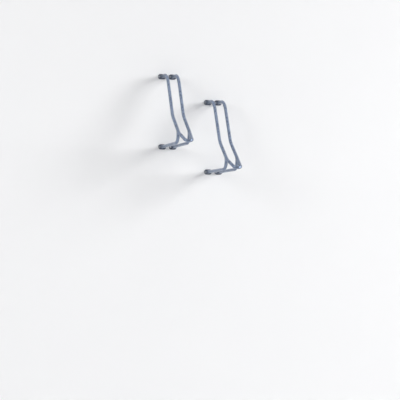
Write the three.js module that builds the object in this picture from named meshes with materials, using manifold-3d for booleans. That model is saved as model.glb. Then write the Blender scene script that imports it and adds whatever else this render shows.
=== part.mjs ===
// A two tier bike rack: a pair of equal holders, one hung a tier lower than the other.
// All lengths are in millimetres. +Z is up, -Y is outward, and the mounting face is the plane Y = 0.
// The origin is the middle of the back face of the high holder's upper left plate.

import * as THREE from 'three';
import { mergeVertices } from 'three/addons/utils/BufferGeometryUtils.js';
import Module from 'manifold-3d';

const wasm = await Module();
wasm.setup();

// Setting out of the two holders on the mounting face
const holderPitch = 340;
const tierStep = 175;

// Setting out of one holder: its legs side by side, its plates one above the other
const legPitch = 78;
const plateDrop = 500;

// Tube of the loops and braces
const tubeDiameter = 22;
const tubeWall = 2;

// Corners of a leg seen from the side: reach out from the mounting face, and drop below the upper plate
const shoulderReach = 148;
const kneeReach = 286;
const kneeDrop = 305;
const elbowReach = 445;
const elbowDrop = 437;
const noseReach = 560;
const noseDrop = 497;

// The legs draw together from the elbows to the nose
const nosePitch = 44;

// A brace meets its leg this far short of the elbow
const braceInset = 17;

// Bend radii at the tube's centre line
const shoulderRadius = 110;
const kneeRadius = 120;
const elbowRadius = 100;
const noseRadius = 22;
const braceRadius = 55;

// Mounting plates
const plateWidth = 55;
const plateHeight = 37;
const plateThickness = 5;
const plateCorner = 16;

// Screws, two through each plate
const screwDiameter = 8;
const screwHoleDiameter = 9;
const screwEdgeDistance = 8;
const screwLength = 65;
const screwPoint = 9;
const headAcrossFlats = 13;
const headHeight = 5.5;
const headChamfer = 1;

// Plugs round the screws, set some way behind the mounting face
const plugSetback = 10;
const plugDiameter = 12;
const plugLength = 50;
const plugRim = 6;
const plugBarb = 1;

// Gap between a piece and what carries it
const seatGap = 0.3;

// Counts and angles that set how finely round shapes are divided
const tubeSides = 14;
const boreSides = 10;
const bendStep = THREE.MathUtils.degToRad(12);
const cornerSteps = 4;
const holeSides = 14;
const shankSides = 12;
const headSides = 6;
const plugSides = 10;
const plugBarbs = 3;

// Most of a straight run that the bend at its end may take up
const endRunShare = 0.95;
const middleRunShare = 0.5;

const zincTube = { color: 0x9aa4b0, roughness: 0.42, metalness: 0.85 };
const zincPlate = { color: 0x8b95a1, roughness: 0.48, metalness: 0.85 };
const zincScrew = { color: 0xc2c6ca, roughness: 0.3, metalness: 0.9 };
const greyNylon = { color: 0x8f9296, roughness: 0.7, metalness: 0 };

// The centre line of a bent tube: straight runs joined by round bends.
// It has stations at the ends of the runs and along the bends, and is stepped from station to station.
class BentLine extends THREE.Curve {
  constructor(corners, radii) {
    super();
    this.stations = [];
    const last = corners.length - 1;
    this.addStation(corners[0], corners[1].clone().sub(corners[0]).normalize());
    for (let i = 1; i < last; i++) {
      const before = i === 1 ? endRunShare : middleRunShare;
      const after = i === last - 1 ? endRunShare : middleRunShare;
      this.addBend(corners[i - 1], corners[i], corners[i + 1], radii[i - 1], before, after);
    }
    this.addStation(corners[last], corners[last].clone().sub(corners[last - 1]).normalize());
  }

  get steps() {
    return this.stations.length - 1;
  }

  addStation(point, tangent) {
    const end = this.stations.at(-1);
    const sameRun = end && end.point.distanceTo(point) < seatGap;
    if (!sameRun) this.stations.push({ point, tangent });
  }

  // A round bend at a corner, as large as the runs beside it leave room for
  addBend(start, corner, end, wantedRadius, shareBefore, shareAfter) {
    const towards = corner.clone().sub(start);
    const away = end.clone().sub(corner);
    const room = Math.min(towards.length() * shareBefore, away.length() * shareAfter);
    towards.normalize();
    away.normalize();
    const turn = towards.angleTo(away);
    const setback = Math.min(wantedRadius * Math.tan(turn / 2), room);
    const radius = setback / Math.tan(turn / 2);
    const first = corner.clone().addScaledVector(towards, -setback);
    const axis = towards.clone().cross(away).normalize();
    const inward = axis.clone().cross(towards);
    const centre = first.clone().addScaledVector(inward, radius);
    const steps = Math.ceil(turn / bendStep);
    for (let i = 0; i <= steps; i++) {
      const angle = (turn * i) / steps;
      const spoke = inward.clone().multiplyScalar(-radius).applyAxisAngle(axis, angle);
      this.addStation(centre.clone().add(spoke), towards.clone().applyAxisAngle(axis, angle));
    }
  }

  getPointAt(share) {
    return this.stations[Math.round(share * this.steps)].point.clone();
  }

  getTangentAt(share) {
    return this.stations[Math.round(share * this.steps)].tangent.clone();
  }
}

// Corner points of a regular polygon about the origin
function ringPoints(radius, sides) {
  const points = [];
  for (let i = 0; i < sides; i++) {
    const angle = (2 * Math.PI * i) / sides;
    points.push(new THREE.Vector2(radius * Math.cos(angle), radius * Math.sin(angle)));
  }
  return points;
}

// A round bar along a line, or a tube where a bore is given
function sweptBar(line, radius, boreRadius = 0) {
  const section = new THREE.Shape(ringPoints(radius, tubeSides));
  if (boreRadius > 0) section.holes.push(new THREE.Path(ringPoints(boreRadius, boreSides)));
  return new THREE.ExtrudeGeometry(section, { steps: line.steps, extrudePath: line, bevelEnabled: false });
}

// Closed geometry as a solid that can be joined and cut
function toSolid(geometry) {
  const bare = geometry.clone();
  bare.deleteAttribute('normal');
  bare.deleteAttribute('uv');
  const merged = mergeVertices(bare);
  const vertProperties = Float32Array.from(merged.attributes.position.array);
  const triVerts = Uint32Array.from(merged.index.array);
  return new wasm.Manifold(new wasm.Mesh({ numProp: 3, vertProperties, triVerts }));
}

// A joined or cut solid back as geometry
function toGeometry(solid) {
  const mesh = solid.getMesh();
  const geometry = new THREE.BufferGeometry();
  geometry.setAttribute('position', new THREE.BufferAttribute(Float32Array.from(mesh.vertProperties), 3));
  geometry.setIndex(new THREE.BufferAttribute(Uint32Array.from(mesh.triVerts), 1));
  geometry.computeVertexNormals();
  return geometry;
}

// Lengths worked out from the driving dimensions
const tubeRadius = tubeDiameter / 2;
const boreRadius = tubeRadius - tubeWall;
const legX = legPitch / 2;
const noseX = nosePitch / 2;
const tubeStart = plateThickness + seatGap;

// Pieces are drawn as seen from the front: x to the right, y up, z outward.
// A holder's own zero is midway between its upper plates.

// The loop's centre line: down the left leg, round the nose and up the right leg
function loopLine() {
  const leg = (side) => [
    new THREE.Vector3(side * legX, 0, tubeStart),
    new THREE.Vector3(side * legX, 0, shoulderReach),
    new THREE.Vector3(side * legX, -kneeDrop, kneeReach),
    new THREE.Vector3(side * legX, -elbowDrop, elbowReach),
    new THREE.Vector3(side * noseX, -noseDrop, noseReach),
  ];
  const bends = [shoulderRadius, kneeRadius, elbowRadius, noseRadius];
  return new BentLine([...leg(-1), ...leg(1).reverse()], [...bends, ...bends.toReversed()]);
}

// A brace's centre line: level out from the lower plate, then up into the leg just short of its elbow
function braceLine(x) {
  const knee = new THREE.Vector3(x, -kneeDrop, kneeReach);
  const elbow = new THREE.Vector3(x, -elbowDrop, elbowReach);
  const joint = elbow.clone().lerp(knee, braceInset / (elbowReach - kneeReach));
  const corners = [
    new THREE.Vector3(x, -plateDrop, tubeStart),
    new THREE.Vector3(x, -plateDrop, joint.z),
    joint,
  ];
  return new BentLine(corners, [braceRadius]);
}

// The brace's tube, its top end coped to the underside of the loop
function braceGeometry(x) {
  const tube = toSolid(sweptBar(braceLine(x), tubeRadius, boreRadius));
  const loop = toSolid(sweptBar(loopLine(), tubeRadius + seatGap));
  return toGeometry(tube.subtract(loop));
}

// A screw's distance from the middle of its plate
const screwX = plateWidth / 2 - screwEdgeDistance;

// A flat plate with round corners and a hole each side of the tube
function plateGeometry() {
  const halfWidth = plateWidth / 2;
  const halfHeight = plateHeight / 2;
  const corner = Math.min(plateCorner, halfWidth, halfHeight);
  const outline = [];
  const turns = [[1, 1], [-1, 1], [-1, -1], [1, -1]];
  turns.forEach(([sideX, sideY], quarter) => {
    for (let i = 0; i <= cornerSteps; i++) {
      const angle = (Math.PI / 2) * (quarter + i / cornerSteps);
      const x = sideX * (halfWidth - corner) + corner * Math.cos(angle);
      const y = sideY * (halfHeight - corner) + corner * Math.sin(angle);
      outline.push(new THREE.Vector2(x, y));
    }
  });
  const plate = new THREE.Shape(outline);
  for (const side of [-1, 1]) {
    const middle = new THREE.Vector2(side * screwX, 0);
    const hole = ringPoints(screwHoleDiameter / 2, holeSides).map((point) => point.add(middle));
    plate.holes.push(new THREE.Path(hole));
  }
  return new THREE.ExtrudeGeometry(plate, { depth: plateThickness, bevelEnabled: false });
}

// A turned shape about the z axis, from points given as radius and height
function turned(profile, sides) {
  const points = profile.map(([radius, height]) => new THREE.Vector2(radius, height));
  return new THREE.LatheGeometry(points, sides).rotateX(Math.PI / 2);
}

// A hexagon-head screw, with zero at the underside of its head and its point towards the back
function screwGeometry() {
  const headRadius = headAcrossFlats / (2 * Math.cos(Math.PI / headSides));
  const head = turned([
    [0, 0],
    [headRadius, 0],
    [headRadius, headHeight - headChamfer],
    [headRadius - headChamfer, headHeight],
    [0, headHeight],
  ], headSides);
  const shankRadius = screwDiameter / 2;
  const shank = turned([
    [0, -screwLength],
    [shankRadius, screwPoint - screwLength],
    [shankRadius, headHeight / 2],
    [0, headHeight / 2],
  ], shankSides);
  return toGeometry(toSolid(head).add(toSolid(shank)));
}

// A plug round the screw: a smooth rim, then barbs, with zero at its mouth
function plugGeometry() {
  const bore = screwDiameter / 2 + seatGap;
  const outer = plugDiameter / 2;
  const root = outer - plugBarb;
  const barbLength = (plugLength - plugRim) / plugBarbs;
  const profile = [[bore, 0], [bore, -plugLength]];
  for (let i = plugBarbs; i > 0; i--) {
    profile.push([root, -plugRim - barbLength * i]);
    profile.push([outer, -plugRim - barbLength * (i - 1)]);
  }
  profile.push([outer, 0]);
  profile.push([bore, 0]);
  return turned(profile, plugSides);
}

const loopShape = sweptBar(loopLine(), tubeRadius, boreRadius);
const plateShape = plateGeometry();
const screwShape = screwGeometry();
const plugShape = plugGeometry();
const sides = [['left', -1], ['right', 1]];
const levels = [['upper', 0], ['lower', -plateDrop]];

function piece(name, geometry, finish) {
  const mesh = new THREE.Mesh(geometry, new THREE.MeshStandardMaterial(finish));
  mesh.name = name;
  return mesh;
}

// A mounting plate with its two screws and their plugs
function platedFoot(name) {
  const foot = new THREE.Group();
  foot.add(piece(`${name}_plate`, plateShape, zincPlate));
  for (const [side, sign] of sides) {
    const screw = piece(`${name}_${side}_screw`, screwShape, zincScrew);
    screw.position.set(sign * screwX, 0, plateThickness + seatGap);
    const plug = piece(`${name}_${side}_plug`, plugShape, greyNylon);
    plug.position.set(sign * screwX, 0, -plugSetback);
    foot.add(screw, plug);
  }
  return foot;
}

// One holder: its loop, two braces and four plated feet
function holder(name) {
  const group = new THREE.Group();
  group.add(piece(`${name}_wheel_loop`, loopShape, zincTube));
  for (const [side, sign] of sides) {
    group.add(piece(`${name}_${side}_brace`, braceGeometry(sign * legX), zincTube));
    for (const [level, y] of levels) {
      const foot = platedFoot(`${name}_${side}_${level}`);
      foot.position.set(sign * legX, y, 0);
      group.add(foot);
    }
  }
  return group;
}

const high = holder('high');
high.position.set(legX, 0, 0);
const low = holder('low');
low.position.set(legX + holderPitch, -tierStep, 0);

// All of it is turned so that z outward becomes -Y, and y up becomes +Z
const rack = new THREE.Group();
rack.rotation.x = Math.PI / 2;
rack.add(high, low);

export default rack;
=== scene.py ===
# %% [markdown]
# # Dressing a two tier bike rack
# The rack is a pair of holders, one hung a tier lower than the other. Each holder is a long loop of
# bent steel tube, propped by two braces and screwed up by four small plates. The solids give the places
# and sizes. This lesson makes the smooth surfaces, the weld beads, the screws and the zinc finish round
# them.

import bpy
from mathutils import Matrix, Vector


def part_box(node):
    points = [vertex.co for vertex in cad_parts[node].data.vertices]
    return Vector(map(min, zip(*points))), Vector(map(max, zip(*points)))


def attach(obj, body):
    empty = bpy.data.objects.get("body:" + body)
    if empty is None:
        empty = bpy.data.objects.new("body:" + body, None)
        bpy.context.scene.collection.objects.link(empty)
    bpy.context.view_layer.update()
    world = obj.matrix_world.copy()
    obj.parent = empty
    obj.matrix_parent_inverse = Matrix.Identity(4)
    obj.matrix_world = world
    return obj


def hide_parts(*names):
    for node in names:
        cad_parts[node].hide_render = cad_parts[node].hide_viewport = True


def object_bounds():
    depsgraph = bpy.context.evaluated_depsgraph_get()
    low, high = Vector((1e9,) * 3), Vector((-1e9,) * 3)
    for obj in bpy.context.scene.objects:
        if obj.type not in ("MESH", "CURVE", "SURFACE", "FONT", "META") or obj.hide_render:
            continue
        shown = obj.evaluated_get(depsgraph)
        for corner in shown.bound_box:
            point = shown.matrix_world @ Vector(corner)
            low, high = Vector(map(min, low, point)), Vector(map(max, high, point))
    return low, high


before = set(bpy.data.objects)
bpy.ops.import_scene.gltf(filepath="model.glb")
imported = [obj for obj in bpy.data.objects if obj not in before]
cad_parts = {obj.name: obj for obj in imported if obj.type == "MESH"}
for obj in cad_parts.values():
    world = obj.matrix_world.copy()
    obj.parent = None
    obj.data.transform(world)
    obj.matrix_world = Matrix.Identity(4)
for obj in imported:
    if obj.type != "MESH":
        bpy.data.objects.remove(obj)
cad_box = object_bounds()
print("solids:", len(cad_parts))

# %% [markdown]
# Everything that can be measured on the solids is read from them, so a piece made here always lands
# where its solid is. A node's box is enough for that: plates give the spacing, screws give their own
# places. A node's name tells its holder, its side and its level.

# %% Read the main places off the solids
import math

import bmesh
import bpy
from mathutils import Matrix, Vector

HOLDERS = ("high", "low")
SIDES = {"left": -1, "right": 1}
LEVELS = ("upper", "lower")


def middle(node):
    """The middle of a solid's box."""
    low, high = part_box(node)
    return (low + high) / 2


def extent(node):
    """The lengths of a solid's box along x, y and z."""
    low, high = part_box(node)
    return high - low


first_plate = middle("high_left_upper_plate")
plate_size = extent("high_left_upper_plate")
plate_front = plate_size.y
leg_x = (middle("high_right_upper_plate").x - first_plate.x) / 2
plate_drop = first_plate.z - middle("high_left_lower_plate").z
screw_x = middle("high_left_upper_right_screw").x - first_plate.x


def holder_origin(holder):
    """The point on the mounting face midway between a holder's upper plates."""
    point = (middle(f"{holder}_left_upper_plate") + middle(f"{holder}_right_upper_plate")) / 2
    return Vector((point.x, 0, point.z))


print(f"leg spacing {2 * leg_x:.3f} m, plates {plate_drop:.3f} m apart, screws {2 * screw_x:.3f} m apart")

# %% [markdown]
# A bent tube is known by its corners and its bend radii, as on a workshop drawing. The corners are
# given in the side view: how far out from the mounting face, and how far below the upper plate. The
# loop runs down one leg, across the nose and up the other leg. These are the solids' own values, in
# metres. The nose is kept as far out as the solid, whose flat facets lie a hair inside the round.

# %% Write down the loop's corners
TUBE_RADIUS = 0.011
SHOULDER_REACH = 0.148
KNEE_REACH = 0.286
KNEE_DROP = 0.305
ELBOW_REACH = 0.445
ELBOW_DROP = 0.437
NOSE_DROP = 0.497
NOSE_X = 0.022

nose_reach = -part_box("high_wheel_loop")[0].y - TUBE_RADIUS


def leg_corners(side):
    """A leg's corners, from its plate to the nose."""
    return [
        Vector((side * leg_x, -plate_front, 0)),
        Vector((side * leg_x, -SHOULDER_REACH, 0)),
        Vector((side * leg_x, -KNEE_REACH, -KNEE_DROP)),
        Vector((side * leg_x, -ELBOW_REACH, -ELBOW_DROP)),
        Vector((side * NOSE_X, -nose_reach, -NOSE_DROP)),
    ]


loop_corners = leg_corners(-1) + leg_corners(1)[::-1]
print("loop corners:", len(loop_corners), "nose", round(nose_reach, 3), "m out")

# %% [markdown]
# A brace leaves its lower plate level, and turns up to meet its leg just above the elbow, where it is
# welded. So its last corner is a point on the leg's own line.

# %% Write down the braces' corners
BRACE_INSET = 0.017


def brace_joint(side):
    """The point on a leg's centre line that its brace is welded up to."""
    knee, elbow = leg_corners(side)[2:4]
    return elbow.lerp(knee, BRACE_INSET / (ELBOW_REACH - KNEE_REACH))


def brace_corners(side):
    """A brace's corners: straight out from its plate, then up to the leg."""
    joint = brace_joint(side)
    return [
        Vector((side * leg_x, -plate_front, -plate_drop)),
        Vector((side * leg_x, joint.y, -plate_drop)),
        joint,
    ]


print("brace corners:", len(brace_corners(-1)), "joint", round(-brace_joint(-1).y, 3), "m out")

# %% [markdown]
# A bender leaves each corner as an arc that starts and ends square to the straight runs. The walk below
# turns corners and radii into stations: a point, the way the tube points there, and how hard it is
# bent. The pull grows and fades softly along a bend, and a mandrel in the tube keeps it low in the
# tight nose. A cross-section carried along the stations without twisting gives the tube. Curve objects
# could do the same, but rings of points keep the ends open to be shaped, which the coped braces need.

# %% Walk along a bent tube
SHOULDER_BEND = 0.110
KNEE_BEND = 0.120
ELBOW_BEND = 0.100
NOSE_BEND = 0.022
BEND_STEP = math.radians(3.5)
RUN_STEP = 0.030
MOST_PULL = 0.2


def run_stations(start, end, direction):
    """Stations along a straight run, without the one at its end."""
    count = max(1, round((end - start).length / RUN_STEP))
    return [(start.lerp(end, step / count), direction, Vector()) for step in range(count)]


def bent_stations(corners, radii):
    """Stations (point, direction, inward pull) along straight runs joined by round bends."""
    stations = []
    start = corners[0]
    for index, radius in enumerate(radii):
        corner = corners[index + 1]
        before = (corner - corners[index]).normalized()
        after = (corners[index + 2] - corner).normalized()
        turn = before.angle(after)
        setback = radius * math.tan(turn / 2)
        bend_start = corner - before * setback
        stations += run_stations(start, bend_start, before)
        axis = before.cross(after).normalized()
        inward = axis.cross(before)
        centre = bend_start + inward * radius
        steps = math.ceil(turn / BEND_STEP)
        for step in range(steps):
            spin = Matrix.Rotation(turn * step / steps, 3, axis)
            swell = math.sin(math.pi * step / steps) ** 2
            pull = swell * min(TUBE_RADIUS / radius, MOST_PULL)
            stations.append((centre - spin @ inward * radius, spin @ before, spin @ inward * pull))
        start = corner + after * setback
    last = (corners[-1] - corners[-2]).normalized()
    return stations + run_stations(start, corners[-1], last) + [(corners[-1], last, Vector())]


leg_bends = [SHOULDER_BEND, KNEE_BEND, ELBOW_BEND, NOSE_BEND]
loop_line = bent_stations(loop_corners, leg_bends + leg_bends[::-1])
print("stations along the loop:", len(loop_line))

# %% [markdown]
# Around the stations go rings of points. Where a tube is bent the section squashes a little towards the
# bend, as it does over a former. A hollow tube's rings run out along its skin and back along its bore,
# so that its ends are real cut edges. A trim can move the points of the last ring, to shape that end.

# %% Draw the rings of a hollow tube
TUBE_WALL = 0.002
TUBE_SIDES = 48
SQUASH_SHARE = 0.22


def tube_rings(stations, radius):
    """One ring for each station, carried along without twisting."""
    across = stations[0][1].orthogonal().normalized()
    rings = []
    for point, direction, pull in stations:
        across = (across - direction * across.dot(direction)).normalized()
        beside = direction.cross(across)
        ring = []
        for side in range(TUBE_SIDES):
            angle = math.tau * side / TUBE_SIDES
            spoke = (across * math.cos(angle) + beside * math.sin(angle)) * radius
            if pull.length > 0:
                spoke -= pull * SQUASH_SHARE * spoke.dot(pull.normalized())
            ring.append(point + spoke)
        rings.append(ring)
    return rings


def hollow_rings(stations, trim=None):
    """Rings of a hollow tube, out along the skin and back along the bore."""
    skin = tube_rings(stations, TUBE_RADIUS)
    bore = tube_rings(stations, TUBE_RADIUS - TUBE_WALL)
    if trim:
        skin[-1] = [trim(point) for point in skin[-1]]
        bore[-1] = [trim(point) for point in bore[-1]]
    return skin + bore[::-1]


loop_rings = hollow_rings(loop_line)
print("rings in a loop:", len(loop_rings), "of", TUBE_SIDES, "points")

# %% [markdown]
# Most pieces here are lofts: each ring is joined to the next by four-sided faces. A hollow tube's last
# ring is joined to its first one, so the mesh is closed without end faces, and any other loft gets a
# face at each end. All faces are shaded smooth, and the edges where they meet at a marked angle stay
# sharp.

# %% Make the loop's mesh
SHARP_EDGE = math.radians(32)


def finish_mesh(name, shape):
    """A shape as a mesh with outward faces, smooth but for its sharp edges."""
    bmesh.ops.recalc_face_normals(shape, faces=shape.faces)
    mesh = bpy.data.meshes.new(name)
    shape.to_mesh(mesh)
    shape.free()
    mesh.shade_smooth()
    mesh.set_sharp_from_angle(angle=SHARP_EDGE)
    return mesh


def build_mesh(name, points, faces):
    """A mesh from points and from faces that count them."""
    shape = bmesh.new()
    corners = [shape.verts.new(point) for point in points]
    for face in faces:
        shape.faces.new([corners[index] for index in face])
    return finish_mesh(name, shape)


def loft(name, rings, closed=False):
    """Rings of equally many points joined in order; a loft that isn't closed on itself gets end faces."""
    count = len(rings[0])
    points = [point for ring in rings for point in ring]
    faces = []
    joins = len(rings) if closed else len(rings) - 1
    for index in range(joins):
        near = index * count
        far = (index + 1) % len(rings) * count
        for step in range(count):
            beside = (step + 1) % count
            faces.append((near + step, near + beside, far + beside, far + step))
    if not closed:
        faces.append(tuple(range(count)))
        faces.append(tuple(range(len(points) - count, len(points))))
    return build_mesh(name, points, faces)


loop_mesh = loft("loop", loop_rings, closed=True)
print("faces in a loop:", len(loop_mesh.polygons))

# %% [markdown]
# The loop is the same on both holders, so one mesh serves twice. Meshes are drawn from the holder's own
# zero, midway between its upper plates, and the object carries them to the holder. A finish that is
# laid out in the object's own coordinates then falls on both in the same way.

# %% Place the two loops
BODY = "root"


def place(name, mesh, origin, node=None):
    """A piece at its origin that rides on the rack and, but for the welds, stands for a solid."""
    piece = bpy.data.objects.new(name, mesh)
    piece.location = origin
    bpy.context.scene.collection.objects.link(piece)
    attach(piece, BODY)
    if node:
        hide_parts(node)
    return piece


loops = []
for holder in HOLDERS:
    node = f"{holder}_wheel_loop"
    loops.append(place(f"{node}_tube", loop_mesh, holder_origin(holder), node))
print("loops:", len(loops))

# %% [markdown]
# Each brace stands up under a leg and its top is coped: cut hollow, like a fish's mouth, so that it
# fits the round of the leg. A boolean could cut it, but the cut has a short formula. A point on the
# brace's wall slides straight up its own line until it meets the leg's cylinder, for the skin and for
# the bore alike.

# %% Make the four braces
BRACE_BEND = 0.055


def cope(side):
    """A function that slides a point up to the underside of a leg."""
    joint = brace_joint(side)
    knee, elbow = leg_corners(side)[2:4]
    along = (elbow - knee).normalized()

    def slide(point):
        across = point.x - joint.x
        lift = math.sqrt(max(0, TUBE_RADIUS**2 - across**2)) / abs(along.y)
        return Vector((point.x, point.y, joint.z + (point.y - joint.y) * along.z / along.y - lift))

    return slide


brace_meshes = {}
braces = []
for side, sign in SIDES.items():
    line = bent_stations(brace_corners(sign), [BRACE_BEND])
    brace_meshes[side] = loft(f"brace_{side}", hollow_rings(line, trim=cope(sign)), closed=True)
    for holder in HOLDERS:
        node = f"{holder}_{side}_brace"
        braces.append(place(f"{node}_tube", brace_meshes[side], holder_origin(holder), node))
print("braces:", len(braces), "faces each:", len(brace_meshes["left"].polygons))

# %% [markdown]
# A weld bead is a thin roll of metal laid in the corner between two pieces, with a ripple for each beat
# of the welder's hand. Here it is a small ring swept along the corner line and swelling with every
# ripple. The first one drawn is the bead round a tube where it meets its plate.

# %% Draw a weld bead
BEAD_RADIUS = 0.0017
BEAD_SIDES = 12
RIPPLE_LENGTH = 0.0036
RIPPLE_STEPS = 8
RIPPLE_SHARE = 0.13


def bead_mesh(name, corner_line, outward):
    """A rippled bead along a closed corner line, given as a function of the share of a turn."""
    rough = [corner_line(step / TUBE_SIDES) for step in range(TUBE_SIDES)]
    length = sum((rough[step] - rough[step - 1]).length for step in range(TUBE_SIDES))
    ripples = round(length / RIPPLE_LENGTH)
    steps = ripples * RIPPLE_STEPS
    points = [corner_line(step / steps) for step in range(steps)]
    rings = []
    for step, point in enumerate(points):
        along = (points[(step + 1) % steps] - points[step - 1]).normalized()
        out = outward(step / steps)
        out = (out - along * out.dot(along)).normalized()
        up = along.cross(out)
        beat = abs(math.sin(math.pi * ripples * step / steps))
        radius = BEAD_RADIUS * (1 - RIPPLE_SHARE + RIPPLE_SHARE * beat)
        ring = []
        for side in range(BEAD_SIDES):
            angle = math.tau * side / BEAD_SIDES
            ring.append(point + (out * math.cos(angle) + up * math.sin(angle)) * radius)
        rings.append(ring)
    return loft(name, rings, closed=True)


def plate_outward(share):
    """A unit vector a share of a turn round a tube that leaves its plate."""
    angle = math.tau * share
    return Vector((math.cos(angle), 0, math.sin(angle)))


def plate_corner(share):
    """The corner line between a tube and its plate, with the plate's middle as zero."""
    return plate_outward(share) * TUBE_RADIUS - Vector((0, plate_front, 0))


plate_bead = bead_mesh("plate_bead", plate_corner, plate_outward)
print("faces in a plate's bead:", len(plate_bead.polygons))

# %% [markdown]
# The other beads run along the coped ends of the braces. Their corner line is a circle round the brace,
# slid up to the leg by the same function that coped the tube.

# %% Lay the weld beads
def joint_outward(share):
    """A unit vector a share of a turn round a tube that stands upright."""
    angle = math.tau * share
    return Vector((math.cos(angle), math.sin(angle), 0))


def joint_corner(side):
    """A function that gives the corner line between a brace and its leg."""
    slide = cope(side)
    joint = brace_joint(side)
    return lambda share: slide(joint + joint_outward(share) * TUBE_RADIUS)


joint_beads = {}
for side, sign in SIDES.items():
    joint_beads[side] = bead_mesh(f"joint_bead_{side}", joint_corner(sign), joint_outward)
beads = []
for holder in HOLDERS:
    for side in SIDES:
        name = f"{holder}_{side}_joint_weld"
        beads.append(place(name, joint_beads[side], holder_origin(holder)))
        for level in LEVELS:
            spot = middle(f"{holder}_{side}_{level}_plate")
            name = f"{holder}_{side}_{level}_plate_weld"
            beads.append(place(name, plate_bead, (spot.x, 0, spot.z)))
print("weld beads:", len(beads))

# %% [markdown]
# The plates are punched from flat bar, with round ends and two holes. Their outline is laid down as
# points: arcs at the corners, and a ring for each hole.

# %% Draw the plate's outlines
PLATE_CORNER = 0.016
CORNER_STEPS = 10
SCREW_HOLE = 0.0045
HOLE_STEPS = 32


def round_ended(width, height, corner):
    """Points round a rectangle with round corners."""
    points = []
    quarters = [(1, 1), (-1, 1), (-1, -1), (1, -1)]
    for quarter, (side_x, side_y) in enumerate(quarters):
        for step in range(CORNER_STEPS + 1):
            angle = math.pi / 2 * (quarter + step / CORNER_STEPS)
            x = side_x * (width / 2 - corner) + corner * math.cos(angle)
            y = side_y * (height / 2 - corner) + corner * math.sin(angle)
            points.append((x, y))
    return points


def round_hole(x, radius):
    """Points round a hole on the plate's centre line."""
    turns = [math.tau * step / HOLE_STEPS for step in range(HOLE_STEPS)]
    return [(x + radius * math.cos(turn), radius * math.sin(turn)) for turn in turns]


outlines = [round_ended(plate_size.x, plate_size.z, PLATE_CORNER)]
outlines += [round_hole(sign * screw_x, SCREW_HOLE) for sign in SIDES.values()]
print("points in a plate's outlines:", [len(outline) for outline in outlines])

# %% [markdown]
# The punch and the zinc have softened the plates' edges. A flat filled curve does this well, because
# its bevel runs round the outline and the holes alike. The bevel would grow the outline, so an equal
# offset draws it back in. The curve is turned into a mesh that stands upright on the mounting face.

# %% Make the eight plates
PLATE_EDGE = 0.0007
EDGE_STEPS = 3
MERGE_REACH = 0.00001


def add_outline(curve, points):
    """Adds a closed line to a curve."""
    line = curve.splines.new("POLY")
    line.points.add(len(points) - 1)
    for spot, (x, y) in zip(line.points, points):
        spot.co = (x, y, 0, 1)
    line.use_cyclic_u = True


def plate_mesh():
    """A plate with its middle over zero and its back on the mounting face."""
    curve = bpy.data.curves.new("plate", "CURVE")
    curve.dimensions = "2D"
    curve.fill_mode = "BOTH"
    curve.extrude = plate_size.y / 2 - PLATE_EDGE
    curve.bevel_depth = PLATE_EDGE
    curve.bevel_resolution = EDGE_STEPS
    curve.offset = -PLATE_EDGE
    for outline in outlines:
        add_outline(curve, outline)
    drawn = bpy.data.objects.new("plate_outline", curve)
    shape = bmesh.new()
    shape.from_mesh(bpy.data.meshes.new_from_object(drawn))
    bpy.data.objects.remove(drawn)
    bmesh.ops.remove_doubles(shape, verts=shape.verts, dist=MERGE_REACH)
    stand_up = Matrix.Rotation(math.pi / 2, 4, "X")
    set_out = Matrix.Translation((0, -plate_size.y / 2, 0))
    bmesh.ops.transform(shape, matrix=set_out @ stand_up, verts=shape.verts)
    return finish_mesh("plate", shape)


plate_shape = plate_mesh()
plates = []
for holder in HOLDERS:
    for side in SIDES:
        for level in LEVELS:
            node = f"{holder}_{side}_{level}_plate"
            spot = middle(node)
            plates.append(place(f"{node}_punched", plate_shape, (spot.x, 0, spot.z), node))
print("plates:", len(plates), "faces each:", len(plate_shape.polygons))

# %% [markdown]
# The screws are coach screws, lofted down their axis. The head is a hexagon with its corners chamfered
# off in a cone, over a thin round bearing face. The hexagon is a radius that swings with the angle, and
# the chamfer is the height where a cone cuts it.

# %% Draw the screw's head
SCREW_RADIUS = 0.004
SCREW_SIDES = 36
HEAD_FLATS = 0.013
HEAD_HEIGHT = 0.0055
HEAD_SIDES = 6
CROWN_SHARE = 0.94
CROWN_RING_SHARES = (0.3, 0.97)
CROWN_EASE = 0.0001
CHAMFER = math.radians(30)
FACE_SHARE = 0.97
FACE_HEIGHT = 0.0005

screw_angles = [math.tau * step / SCREW_SIDES for step in range(SCREW_SIDES)]
seat_gap = -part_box("high_left_upper_left_screw")[0].y - plate_front - HEAD_HEIGHT


def screw_point(angle, radius, height):
    """A point round the screw's axis, at a height over the plate."""
    return Vector((radius * math.cos(angle), -height, radius * math.sin(angle)))


def round_ring(radius, height):
    """A round ring about the screw's axis."""
    return [screw_point(angle, radius, height) for angle in screw_angles]


def hexagon(angle):
    """A hexagon's radius at an angle, with flats to the left and right."""
    wedge = math.tau / HEAD_SIDES
    return HEAD_FLATS / 2 / math.cos((angle + wedge / 2) % wedge - wedge / 2)


def head_rings():
    """Rings from the middle of the crown, down the hexagon and in under the bearing face."""
    top = HEAD_HEIGHT + seat_gap
    crown = HEAD_FLATS / 2 * CROWN_SHARE
    face = HEAD_FLATS / 2 * FACE_SHARE
    rings = [round_ring(crown * share, top) for share in CROWN_RING_SHARES]
    rings.append(round_ring(crown, top - CROWN_EASE))
    reaches = [hexagon(angle) for angle in screw_angles]
    heights = [top - (reach - crown) * math.tan(CHAMFER) for reach in reaches]
    rings.append([screw_point(*corner) for corner in zip(screw_angles, reaches, heights)])
    rings.append([screw_point(angle, hexagon(angle), FACE_HEIGHT) for angle in screw_angles])
    return rings + [round_ring(face, FACE_HEIGHT), round_ring(face, 0), round_ring(SCREW_RADIUS, 0)]


print("rings in a screw's head:", len(head_rings()))

# %% [markdown]
# Below the head come a plain neck and a coarse thread that runs out to a point. The thread is a radius
# that winds: along the screw it rises to a crest once in every pitch, and a full turn brings it one
# pitch on.

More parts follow.
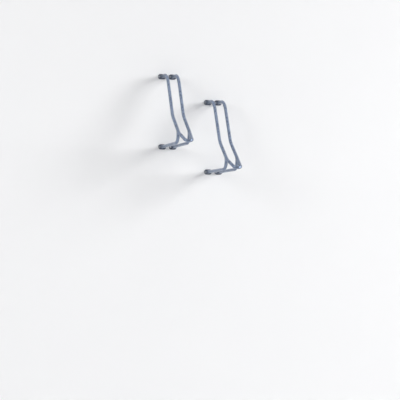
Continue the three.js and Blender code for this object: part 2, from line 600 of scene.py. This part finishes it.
# %% Wind the screw's thread
SCREW_LENGTH = 0.065
SCREW_NECK = 0.014
SCREW_CORE = 0.0029
SCREW_POINT = 0.009
SCREW_TIP = 0.00029
THREAD_PITCH = 0.0036
THREAD_STEPS = 8
CREST_SHARE = 0.5


def thread_radius(angle, depth):
    """The thread's radius at an angle and a depth below the head."""
    turn = (depth / THREAD_PITCH + angle / math.tau) % 1
    crest = max(0, 1 - abs(turn - 1 / 2) / (CREST_SHARE / 2))
    fade_in = min(1, max(0, (depth - SCREW_NECK) / THREAD_PITCH))
    core = SCREW_RADIUS + (SCREW_CORE - SCREW_RADIUS) * fade_in
    taper = min(1, (SCREW_LENGTH - depth) / SCREW_POINT)
    return (core + (SCREW_RADIUS - core) * crest) * taper


def thread_rings():
    """Rings from the end of the neck to the tip."""
    count = math.ceil((SCREW_LENGTH - SCREW_NECK) / THREAD_PITCH * THREAD_STEPS)
    end = SCREW_LENGTH - seat_gap - SCREW_TIP
    rings = []
    for step in range(count + 1):
        depth = SCREW_NECK + (end - SCREW_NECK) * step / count
        rings.append([screw_point(angle, thread_radius(angle, depth), -depth) for angle in screw_angles])
    return rings


screw_shape = loft("coach_screw", head_rings() + thread_rings())
print("faces in a screw:", len(screw_shape.polygons))

# %% [markdown]
# The plugs are moulded nylon sleeves: a plain collar, then two jaws that the screw spreads, with barbs
# that grip the hole. The jaws are parted by slits. A list of stations gives the sleeve's depths and
# radii, and tells where it is slit.

# %% Write down the plug's profile
PLUG_COLLAR = 0.006
BARB_COUNT = 3
BARB_DEPTH = 0.001
BARB_RUN_SHARE = 0.98
BARB_CELLS = 4
MOUTH_EASE = 0.00025

plug_extent = extent("high_left_upper_left_plug")
plug_radius = plug_extent.z / 2


def plug_stations():
    """Depth and radius along the plug, and whether the stretch before each is slit."""
    stations = [(0, plug_radius - MOUTH_EASE, False)]
    stations.append((MOUTH_EASE, plug_radius, False))
    stations.append((PLUG_COLLAR, plug_radius, False))
    barb = (plug_extent.y - PLUG_COLLAR) / BARB_COUNT
    for index in range(BARB_COUNT):
        start = PLUG_COLLAR + barb * index
        for cell in range(1, BARB_CELLS + 1):
            share = cell / BARB_CELLS
            depth = start + barb * share * BARB_RUN_SHARE
            stations.append((depth, plug_radius - BARB_DEPTH * share, True))
        if index < BARB_COUNT - 1:
            stations.append((start + barb, plug_radius, True))
    return stations


plug_profile = plug_stations()
print("stations along a plug:", len(plug_profile))

# %% [markdown]
# The sleeve is laid out as cells round and along it, and a cell that lies in a slit is left out. Each
# cell has a face on the bore and one outside, and a wall wherever it meets an empty cell, so the mesh
# is closed. A corner is first named by its row, its step round the sleeve and its layer, and is
# numbered when it is first met, so that cells which share a corner share its point.

# %% Make the plug from cells
PLUG_CELLS = 48
SLIT_COUNT = 2
SLIT_CELLS = 3

plug_bore = SCREW_RADIUS + seat_gap


def is_full(row, step):
    """Whether there is a cell between a row and the one before, at a step round the sleeve."""
    if not 1 <= row < len(plug_profile):
        return False
    slit = plug_profile[row][2]
    return not (slit and step % (PLUG_CELLS // SLIT_COUNT) < SLIT_CELLS)


def cell_faces(row, step):
    """A cell's faces as corners: the bore and the outside, and walls towards empty cells."""
    faces = []
    for layer in (0, 1):
        near = [(row - 1, step, layer), (row - 1, step + 1, layer)]
        faces.append(near + [(row, step + 1, layer), (row, step, layer)])
    for edge, beside in ((step, step - 1), (step + 1, step + 1)):
        if not is_full(row, beside):
            faces.append([(row - 1, edge, 0), (row - 1, edge, 1), (row, edge, 1), (row, edge, 0)])
    for edge, beside in ((row - 1, row - 1), (row, row + 1)):
        if not is_full(beside, step):
            faces.append([(edge, step, 0), (edge, step, 1), (edge, step + 1, 1), (edge, step + 1, 0)])
    return faces


def plug_point(row, step, layer):
    """A corner's point: on the bore in layer 0, on the outside in layer 1."""
    depth, radius, _ = plug_profile[row]
    angle = math.tau * step / PLUG_CELLS
    reach = radius if layer else plug_bore
    return Vector((reach * math.cos(angle), depth, reach * math.sin(angle)))


def plug_mesh():
    """A plug with the middle of its mouth at zero."""
    faces = []
    for row in range(1, len(plug_profile)):
        for step in range(PLUG_CELLS):
            if is_full(row, step):
                faces += cell_faces(row, step)
    numbers = {}
    numbered = []
    for face in faces:
        corners = [(row, step % PLUG_CELLS, layer) for row, step, layer in face]
        numbered.append([numbers.setdefault(corner, len(numbers)) for corner in corners])
    return build_mesh("plug", [plug_point(*corner) for corner in numbers], numbered)


plug_shape = plug_mesh()
print("faces in a plug:", len(plug_shape.polygons))

# %% [markdown]
# Every screw and plug has a solid of its own, so each is set where its solid is. The screw's zero is
# the middle of its seat on the plate, and the plug's zero is its mouth.

# %% Set the screws and plugs
plug_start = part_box("high_left_upper_left_plug")[0].y
screws = []
plugs = []
for holder in HOLDERS:
    for side in SIDES:
        for level in LEVELS:
            for plate_side in SIDES:
                stem = f"{holder}_{side}_{level}_{plate_side}"
                spot = middle(f"{stem}_screw")
                seat = (spot.x, -plate_front, spot.z)
                mouth = (spot.x, plug_start, spot.z)
                name = f"{stem}_hex_screw"
                screws.append(place(name, screw_shape, seat, f"{stem}_screw"))
                name = f"{stem}_anchor_plug"
                plugs.append(place(name, plug_shape, mouth, f"{stem}_plug"))
print("screws:", len(screws), "plugs:", len(plugs))

# %% [markdown]
# Finishes are node networks, and sums are easier to read as sums. The small class below wraps a socket
# so that Python's own signs add the Math nodes. It also gives the larger of two numbers, a smooth ramp,
# and the other outputs of the same node.

# %% Write shader sums as Python
class Wire:
    """An output that can be added, multiplied and so on."""

    def __init__(self, network, socket):
        self.network = network
        self.socket = socket

    def combine(self, operation, first, second):
        """A Math node with two inputs."""
        return self.network.node("ShaderNodeMath", {"operation": operation}, {0: first, 1: second})

    def __add__(self, other):
        return self.combine("ADD", self, other)

    def __radd__(self, other):
        return self.combine("ADD", other, self)

    def __sub__(self, other):
        return self.combine("SUBTRACT", self, other)

    def __rsub__(self, other):
        return self.combine("SUBTRACT", other, self)

    def __mul__(self, other):
        return self.combine("MULTIPLY", self, other)

    def __rmul__(self, other):
        return self.combine("MULTIPLY", other, self)

    def larger(self, other):
        """The larger of two numbers."""
        return self.combine("MAXIMUM", self, other)

    def ramp(self, low, high):
        """0 below low, 1 above high and smooth between them."""
        settings = {"interpolation_type": "SMOOTHSTEP"}
        inputs = {"Value": self, "From Min": low, "From Max": high}
        return self.network.node("ShaderNodeMapRange", settings, inputs)

    def sibling(self, output):
        """Another output of the same node."""
        return Wire(self.network, self.socket.node.outputs[output])


print("signs that add a node: + - *")

# %% [markdown]
# Every other node comes from one method that takes its type, its settings and its inputs. The methods
# below it are short names for the nodes that the finishes use most. Materials and the world both hold
# such a network. A Mix node has sockets for every kind of data, and those for colours are known by
# their numbers.

# %% Add any node with one method
MIX_SHARE = 0
MIX_LOW = 6
MIX_HIGH = 7
MIX_COLOUR = 2


class Network:
    """The nodes of a material or of the world."""

    def __init__(self, owner):
        self.owner = owner
        owner.use_nodes = True
        self.tree = owner.node_tree
        self.tree.nodes.clear()

    def node(self, kind, settings=None, inputs=None, output=0):
        """Any node: its settings first, then values or links for its inputs."""
        made = self.tree.nodes.new(kind)
        for key, value in (settings or {}).items():
            setattr(made, key, value)
        for key, value in (inputs or {}).items():
            if isinstance(value, Wire):
                self.tree.links.new(value.socket, made.inputs[key])
            else:
                made.inputs[key].default_value = value
        return Wire(self, made.outputs[output]) if made.outputs else None

    def vector(self, operation, first, second, output="Vector"):
        """A sum with two vectors."""
        return self.node("ShaderNodeVectorMath", {"operation": operation}, {0: first, 1: second}, output)

    def own_place(self, scale=(1, 1, 1)):
        """The object's own coordinates, stretched."""
        return self.vector("MULTIPLY", self.node("ShaderNodeTexCoord", output="Object"), scale)

    def noise(self, size, detail=2, stretch=(1, 1, 1)):
        """Soft noise from 0 to 1 with blotches of about the size given."""
        inputs = {"Vector": self.own_place(stretch), "Scale": 1 / size, "Detail": detail}
        return self.node("ShaderNodeTexNoise", inputs=inputs)

    def mix(self, low, high, share):
        """A colour between two, by a share."""
        inputs = {MIX_SHARE: share, MIX_LOW: low, MIX_HIGH: high}
        return self.node("ShaderNodeMix", {"data_type": "RGBA"}, inputs, MIX_COLOUR)

    def bump(self, height, distance, **under):
        """A normal tilted by a height, which may lie on another normal."""
        inputs = {"Height": height, "Distance": distance, **under}
        return self.node("ShaderNodeBump", inputs=inputs, output="Normal")

    def shader(self, **inputs):
        """The main shader; names as its sockets, with _ for a space."""
        named = {key.replace("_", " "): value for key, value in inputs.items()}
        return self.node("ShaderNodeBsdfPrincipled", inputs=named)

    def done(self, shader, end="ShaderNodeOutputMaterial"):
        """Joins a shader to the output and gives back what holds the nodes."""
        self.node(end, inputs={"Surface": shader})
        return self.owner


def new_finish(name):
    """The network of a new material."""
    return Network(bpy.data.materials.new(name))


print("a network can now be laid node by node")

# %% [markdown]
# Hot-dip zinc isn't one grey. It freezes in spangles the size of a fingernail, each a flat crystal that
# leans its own way and so catches the light differently. Voronoi cells make the spangles, and a cell's
# random colour serves twice: its red is the spangle's tone, and the whole of it is the way it leans.

# %% Grow the spangles
SPANGLE_LEAN = 0.05
HALF = (0.5, 0.5, 0.5)


def spangles(network, size):
    """A tone from 0 to 1 for each spangle, and a normal that leans with it."""
    own = network.own_place()
    inputs = {"Vector": own, "Scale": 1 / size}
    cells = network.node("ShaderNodeTexVoronoi", inputs=inputs, output="Color")
    tone = network.node("ShaderNodeSeparateColor", inputs={"Color": cells}, output="Red")
    lean = network.vector("SUBTRACT", cells, HALF)
    from_middle = network.vector("SUBTRACT", own, cells.sibling("Position"))
    height = network.vector("DOT_PRODUCT", from_middle, lean, output="Value")
    return tone, network.bump(height, SPANGLE_LEAN)


print("spangles lean by", SPANGLE_LEAN)

# %% [markdown]
# Soft blotches show where the coat is thicker, and faint runs where it drained. The finish mixes two
# greys by those patterns, and lets the roughness and the relief follow them. Each piece has its own
# pair of greys: the plates are duller than the screws, and the welds are roughest. The plates' greys are
# also darker than the tubes' as painted shade, though they are the same zinc.

# %% Mix the zinc
SPANGLE_TONE = 0.34
BLOTCH_SIZE = 0.060
BLOTCH_DETAIL = 4
BLOTCH_TONE = 0.55
BLOTCH_RELIEF = 0.8
RUN_SIZE = 0.012
RUN_DETAIL = 3
RUN_STRETCH = (1, 1, 0.08)
RUN_TONE = 0.35
RUN_RELIEF = 0.4
GRAIN_SIZE = 0.0007
GRAIN_RELIEF = 0.15
TONE_RANGE = (0.22, 1.05)
ZINC_RELIEF = 0.00012
ZINC_METALLIC = 0.92


def zinc(name, dark, light, spangle_size, roughness, spread, wear_and_shade=None):
    """Zinc with spangles: two greys, the spangles' size, and the roughness and how far it spreads.

    A function given for wear, if there is one, changes the dullness where the piece is worn, and darkens
    its colour with wear and painted shade.
    """
    network = new_finish(name)
    spangle, leaning = spangles(network, spangle_size)
    blotch = network.noise(BLOTCH_SIZE, BLOTCH_DETAIL)
    run = network.noise(RUN_SIZE, RUN_DETAIL, RUN_STRETCH)
    grain = network.noise(GRAIN_SIZE)
    tone = spangle * SPANGLE_TONE + blotch * BLOTCH_TONE + run * RUN_TONE
    colour = network.mix(dark, light, tone.ramp(*TONE_RANGE))
    dullness = roughness + spread * (spangle + blotch - 1)
    if wear_and_shade:
        colour, dullness = wear_and_shade(network, colour, dullness)
    relief = grain * GRAIN_RELIEF + blotch * BLOTCH_RELIEF + run * RUN_RELIEF
    shader = network.shader(
        Base_Color=colour,
        Metallic=ZINC_METALLIC,
        Roughness=dullness,
        Normal=network.bump(relief, ZINC_RELIEF, Normal=leaning),
    )
    return network.done(shader)


# The plates' greys are darker than the tubes' zinc: painted shade, not a different coat.
plate_zinc_painted_shade = zinc(
    "zinc_on_plates_painted_shade",
    dark=(0.130, 0.146, 0.188, 1),
    light=(0.220, 0.246, 0.305, 1),
    spangle_size=0.006,
    roughness=0.38,
    spread=0.10,
)
screw_zinc = zinc(
    "bright_zinc",
    dark=(0.48, 0.50, 0.53, 1),
    light=(0.72, 0.74, 0.77, 1),
    spangle_size=0.002,
    roughness=0.26,
    spread=0.06,
)
weld_zinc = zinc(
    "zinc_on_welds",
    dark=(0.19, 0.22, 0.27, 1),
    light=(0.32, 0.35, 0.41, 1),
    spangle_size=0.003,
    roughness=0.50,
    spread=0.12,
)
print("zinc finishes:", plate_zinc_painted_shade.name, screw_zinc.name, weld_zinc.name)

# %% [markdown]
# The loops and braces have the same zinc, and use leaves its mark on the loops. A wheel pushed into the
# slot rubs the inner sides of the nose and makes them duller. Their darker colour is partly that rub and
# partly painted shade of the wheel. The mark is worked out from the object's own coordinates: far
# enough out, and on the side of the tube that faces the slot.

# %% Rub and shade the inside of the nose
TUBE_DARK = (0.165, 0.205, 0.283, 1)
TUBE_LIGHT = (0.296, 0.358, 0.480, 1)
TUBE_SPANGLE = 0.007
TUBE_ROUGHNESS = 0.30
TUBE_SPREAD = 0.09
SLOT_HALF = NOSE_X - TUBE_RADIUS
# Painted shade and wear: this grey stands for the wheel's shade in the nose as well as for rubber marks.
RUB_AND_SHADE_GREY = (0.075, 0.078, 0.085, 1)
RUB_ROUGHNESS = 0.22
RUB_AND_SHADE_STRENGTH = 0.6
RUB_AND_SHADE_PAST_ELBOW = 0.010
RUB_AND_SHADE_BEFORE_NOSE = 0.040
STREAK_SIZE = 0.004
STREAK_DETAIL = 4
STREAK_STRETCH = (1, 0.15, 1)
STREAK_RANGE = (0.30, 0.65)

slot_end = nose_reach - NOSE_X
rub_and_shade_range = (ELBOW_REACH + RUB_AND_SHADE_PAST_ELBOW, nose_reach - RUB_AND_SHADE_BEFORE_NOSE)


def rubbed_and_shaded(network, colour, dullness):
    """Darker and duller on the side that faces the slot: duller from wear, darker from wear and painted
    shade.
    """
    own = network.node("ShaderNodeSeparateXYZ", inputs={"Vector": network.own_place()})
    outward = 0 - own.sibling("Y")
    past_slot = (outward - slot_end).larger(0)
    from_slot = own * own + past_slot * past_slot
    inner_side = (NOSE_X**2 - from_slot).ramp(0, NOSE_X**2 - SLOT_HALF**2)
    streak = network.noise(STREAK_SIZE, STREAK_DETAIL, STREAK_STRETCH).ramp(*STREAK_RANGE)
    # The mask darkens the inner nose with painted shade of the wheel and with wear together.
    rub_and_shade = inner_side * outward.ramp(*rub_and_shade_range) * streak * RUB_AND_SHADE_STRENGTH
    return network.mix(colour, RUB_AND_SHADE_GREY, rub_and_shade), dullness + rub_and_shade * RUB_ROUGHNESS


tube_look = (TUBE_DARK, TUBE_LIGHT, TUBE_SPANGLE, TUBE_ROUGHNESS, TUBE_SPREAD)
loop_zinc = zinc("zinc_on_loops", *tube_look, wear_and_shade=rubbed_and_shaded)
brace_zinc = zinc("zinc_on_braces", *tube_look)
print("tube finishes:", loop_zinc.name, brace_zinc.name)

# %% [markdown]
# The plugs are plain moulded nylon: a soft sheen, and a faint mottle from the mould.

# %% Mix the nylon
NYLON_DARK = (0.26, 0.27, 0.29, 1)
NYLON_LIGHT = (0.34, 0.35, 0.37, 1)
NYLON_ROUGHNESS = 0.45
NYLON_SPREAD = 0.2
MOTTLE_SIZE = 0.004
MOTTLE_DETAIL = 3
MOULD_GRAIN = 0.0005
MOULD_RELIEF = 0.00002


def nylon(name):
    """Matt nylon with a faint mottle."""
    network = new_finish(name)
    mottle = network.noise(MOTTLE_SIZE, MOTTLE_DETAIL)
    shader = network.shader(
        Base_Color=network.mix(NYLON_DARK, NYLON_LIGHT, mottle),
        Roughness=NYLON_ROUGHNESS + NYLON_SPREAD * mottle,
        Normal=network.bump(network.noise(MOULD_GRAIN), MOULD_RELIEF),
    )
    return network.done(shader)


plug_nylon = nylon("grey_nylon")
print("plug finish:", plug_nylon.name)

# %% [markdown]
# A mesh carries its own finish, so each is given once and shows on every piece that shares the mesh.

# %% Put the finishes on
finishes = [
    (loop_mesh, loop_zinc),
    (brace_meshes["left"], brace_zinc),
    (brace_meshes["right"], brace_zinc),
    (plate_bead, weld_zinc),
    (joint_beads["left"], weld_zinc),
    (joint_beads["right"], weld_zinc),
    (plate_shape, plate_zinc_painted_shade),
    (screw_shape, screw_zinc),
    (plug_shape, plug_nylon),
]
for mesh, material in finishes:
    mesh.materials.append(material)
print("meshes with a finish:", len(finishes))

# %% [markdown]
# The backdrop and the floor share one pale matt paint. It is one-sided: from its back it lets the eye
# through, so the plugs and the backs of the plates can be looked at, and light that comes from behind
# reaches them.

# %% Mix the one-sided paint
PALE = (0.94, 0.94, 0.94, 1)
PALE_DARKER = (0.915, 0.915, 0.92, 1)
PALE_ROUGHNESS = 0.9
CLOUD_SIZE = 0.9
CLOUD_DETAIL = 3
STIPPLE_SIZE = 0.006
STIPPLE_DETAIL = 4
STIPPLE_RELIEF = 0.0001


def one_sided_paint(name):
    """A pale matt surface that is seen from its front only."""
    network = new_finish(name)
    matt = network.shader(
        Base_Color=network.mix(PALE_DARKER, PALE, network.noise(CLOUD_SIZE, CLOUD_DETAIL)),
        Roughness=PALE_ROUGHNESS,
        Normal=network.bump(network.noise(STIPPLE_SIZE, STIPPLE_DETAIL), STIPPLE_RELIEF),
    )
    clear = network.node("ShaderNodeBsdfTransparent")
    back = network.node("ShaderNodeNewGeometry", output="Backfacing")
    return network.done(network.node("ShaderNodeMixShader", inputs={0: back, 1: matt, 2: clear}))


pale_matt = one_sided_paint("pale_matt")
print("stage finish:", pale_matt.name)

# %% [markdown]
# The backdrop is a pale upright surface that the rack is screwed to, with a pale floor far below. It
# lies a hair in front of the plates' backs, which would otherwise fight with it for the same place.

# %% Set up the backdrop and the floor
STAGE_HALF = 9.0
FLOOR_HALF_DEPTH = 4.0
FLOOR_DROP = 2.2
BACKDROP_SET = 0.0003

rack_middle = (cad_box[0] + cad_box[1]) / 2


def card(name, half_x, half_y, offset, tilt, material):
    """A flat card of the stage, at an offset from the middle of the rack."""
    corners = [(-half_x, -half_y, 0), (half_x, -half_y, 0), (half_x, half_y, 0), (-half_x, half_y, 0)]
    mesh = bpy.data.meshes.new(name)
    mesh.from_pydata(corners, [], [(0, 1, 2, 3)])
    mesh.materials.append(material)
    made = bpy.data.objects.new(name, mesh)
    made.location = rack_middle + Vector(offset)
    made.rotation_euler = (tilt, 0, 0)
    bpy.context.scene.collection.objects.link(made)
    return made


behind = (0, -BACKDROP_SET - rack_middle.y, 0)
backdrop = card("backdrop", STAGE_HALF, STAGE_HALF, behind, math.pi / 2, pale_matt)
below = (0, -FLOOR_HALF_DEPTH - rack_middle.y, -FLOOR_DROP)
floor = card("floor", STAGE_HALF, FLOOR_HALF_DEPTH, below, 0, pale_matt)
print("stage:", backdrop.name, floor.name)

# %% [markdown]
# Polished things show what is round them, so a photographer hangs black cards in front of bright metal
# to give it dark fronts and clear edges. The card here hangs behind the camera. It is hidden from the
# camera itself, and only the metal sees it. The tubes' flanks still mirror the pale backdrop beside
# them.

# %% Hang the dark card
CARD_DISTANCE = 9.5
CARD_HALF_WIDTH = 15.0
CARD_HALF_HEIGHT = 8.0
CARD_DARK = (0.16, 0.17, 0.19, 1)
CARD_LIGHT = (0.21, 0.22, 0.25, 1)
CARD_CLOUD = 1.5
CARD_ROUGHNESS = 0.95


def dark_paint(name):
    """A dark matt surface."""
    network = new_finish(name)
    clouded = network.mix(CARD_DARK, CARD_LIGHT, network.noise(CARD_CLOUD))
    return network.done(network.shader(Base_Color=clouded, Roughness=CARD_ROUGHNESS))


in_front = (0, -CARD_DISTANCE, 0)
paint = dark_paint("dark_card")
dark_card = card("dark_card", CARD_HALF_WIDTH, CARD_HALF_HEIGHT, in_front, -math.pi / 2, paint)
dark_card.visible_camera = False
print("card hung", CARD_DISTANCE, "m in front")

# %% [markdown]
# One broad lamp stands to the right and above, and a weaker one fills from the left front. A grid on
# the broad one keeps its beam on the rack and off the floor close to it, which would turn pure white.

# %% Set up the lamps
KEY_PLACE = Vector((10.8, -7.5, 3.3))
KEY_SIZE = 6.0
KEY_WATTS = 330
KEY_BEAM = math.radians(80)
FILL_PLACE = Vector((-5.6, -4.4, 1.8))
FILL_SIZE = 3.0
FILL_WATTS = 130
OPEN_BEAM = math.pi


def lamp(name, offset, size, watts, beam):
    """A square soft lamp that faces the rack, with the angle of its beam."""
    light = bpy.data.lights.new(name, "AREA")
    light.shape = "SQUARE"
    light.size = size
    light.energy = watts
    light.spread = beam
    made = bpy.data.objects.new(name, light)
    made.location = rack_middle + offset
    made.rotation_euler = (-offset).to_track_quat("-Z", "Y").to_euler()
    bpy.context.scene.collection.objects.link(made)
    return made


key = lamp("key_lamp", KEY_PLACE, KEY_SIZE, KEY_WATTS, KEY_BEAM)
fill = lamp("fill_lamp", FILL_PLACE, FILL_SIZE, FILL_WATTS, OPEN_BEAM)
print("lamps:", key.name, fill.name)

# %% [markdown]
# The world gives a low even light. To the camera and to polished metal it is pale instead, like the
# backdrop, and the Light Path node tells the two apart.

# %% Fill the air with light
AMBIENT = 0.47
WHITE = (1, 1, 1, 1)
PALE_AIR = (0.93, 0.93, 0.94, 1)

air = Network(bpy.data.worlds.new("studio"))
path = air.node("ShaderNodeLightPath", output="Is Camera Ray")
seen = path.larger(path.sibling("Is Glossy Ray")).larger(path.sibling("Is Transmission Ray"))
even = air.node("ShaderNodeBackground", inputs={"Color": WHITE, "Strength": AMBIENT})
pale = air.node("ShaderNodeBackground", inputs={"Color": PALE_AIR})
blend = air.node("ShaderNodeMixShader", inputs={0: seen, 1: even, 2: pale})
bpy.context.scene.world = air.done(blend, end="ShaderNodeOutputWorld")
print("world:", bpy.context.scene.world.name)

# %% [markdown]
# The camera stands well back, low and to the left, with a long lens, and looks up a little. Its place
# was worked out from straight lines and known lengths in the picture. The frame is square.

# %% Place the camera
CAMERA_PLACE = Vector((-2.048, -7.818, -1.093))
CAMERA_YAW = math.radians(16.58)
CAMERA_PITCH = math.radians(1.52)
CAMERA_ROLL = math.radians(-0.23)
FRAME_PIXELS = 400
FOCAL_PIXELS = 1137.98
SENSOR = 36.0

forward = Vector((
    math.sin(CAMERA_YAW) * math.cos(CAMERA_PITCH),
    math.cos(CAMERA_YAW) * math.cos(CAMERA_PITCH),
    math.sin(CAMERA_PITCH),
))
level_right = Vector((math.cos(CAMERA_YAW), -math.sin(CAMERA_YAW), 0))
level_up = level_right.cross(forward)
right = level_right * math.cos(CAMERA_ROLL) + level_up * math.sin(CAMERA_ROLL)
up = right.cross(forward)
camera_data = bpy.data.cameras.new("camera")
camera_data.sensor_width = SENSOR
camera_data.lens = FOCAL_PIXELS * SENSOR / FRAME_PIXELS
camera = bpy.data.objects.new("camera", camera_data)
facing = Matrix((right, up, -forward)).transposed().to_4x4()
camera.matrix_world = Matrix.Translation(CAMERA_PLACE) @ facing
bpy.context.scene.collection.objects.link(camera)
bpy.context.scene.camera = camera
bpy.context.scene.view_settings.view_transform = "Standard"
print(f"lens {camera_data.lens:.1f} mm")
